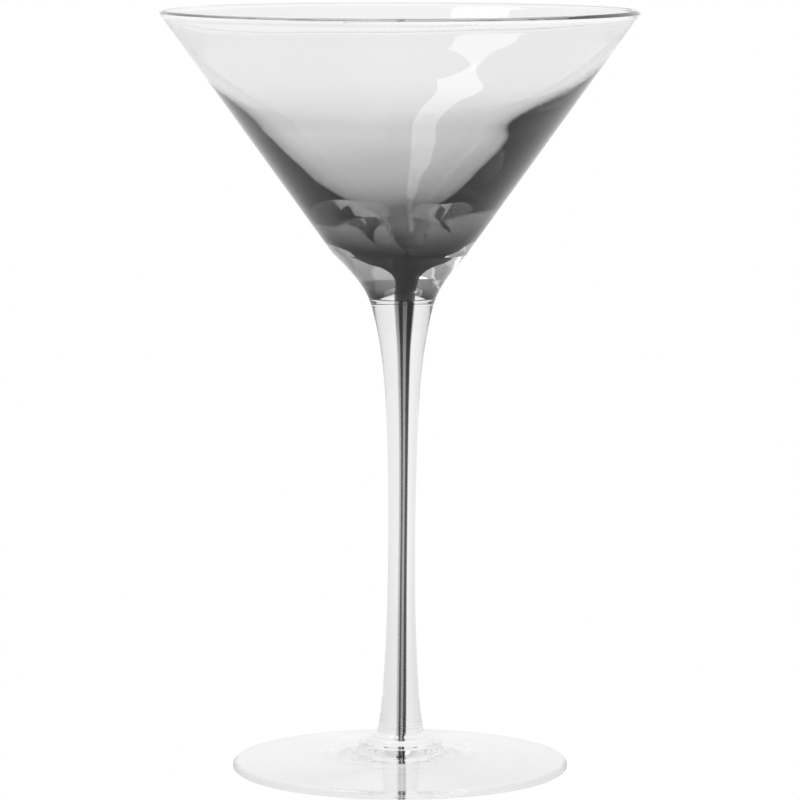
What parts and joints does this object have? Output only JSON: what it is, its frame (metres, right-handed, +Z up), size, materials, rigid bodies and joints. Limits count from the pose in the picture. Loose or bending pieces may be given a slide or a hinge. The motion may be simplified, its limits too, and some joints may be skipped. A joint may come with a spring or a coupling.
{
  "type": "martini glass",
  "caption": "Stemmed cocktail glass with a wide conical bowl lined in smoke-grey glass, a clear drawn stem with a smoke thread, and a round foot.",
  "frame": {"origin": "middle of the flat ring the foot stands on", "axes": "+Z up along the glass's turning axis, from the foot to the lip"},
  "size_m": [0.1164, 0.1164, 0.186],
  "materials": {
    "clear_glass": "clear mouth-blown glass, fire-polished",
    "smoke_glass": "smoke-grey transparent glass, fused inside the clear glass"
  },
  "bodies": {
    "root": {"bowl_casing": "clear_glass", "bowl_smoke_lining": "smoke_glass", "stem": "clear_glass", "stem_smoke_thread": "smoke_glass", "foot_collar": "clear_glass", "foot": "clear_glass"}
  },
  "joints": []
}
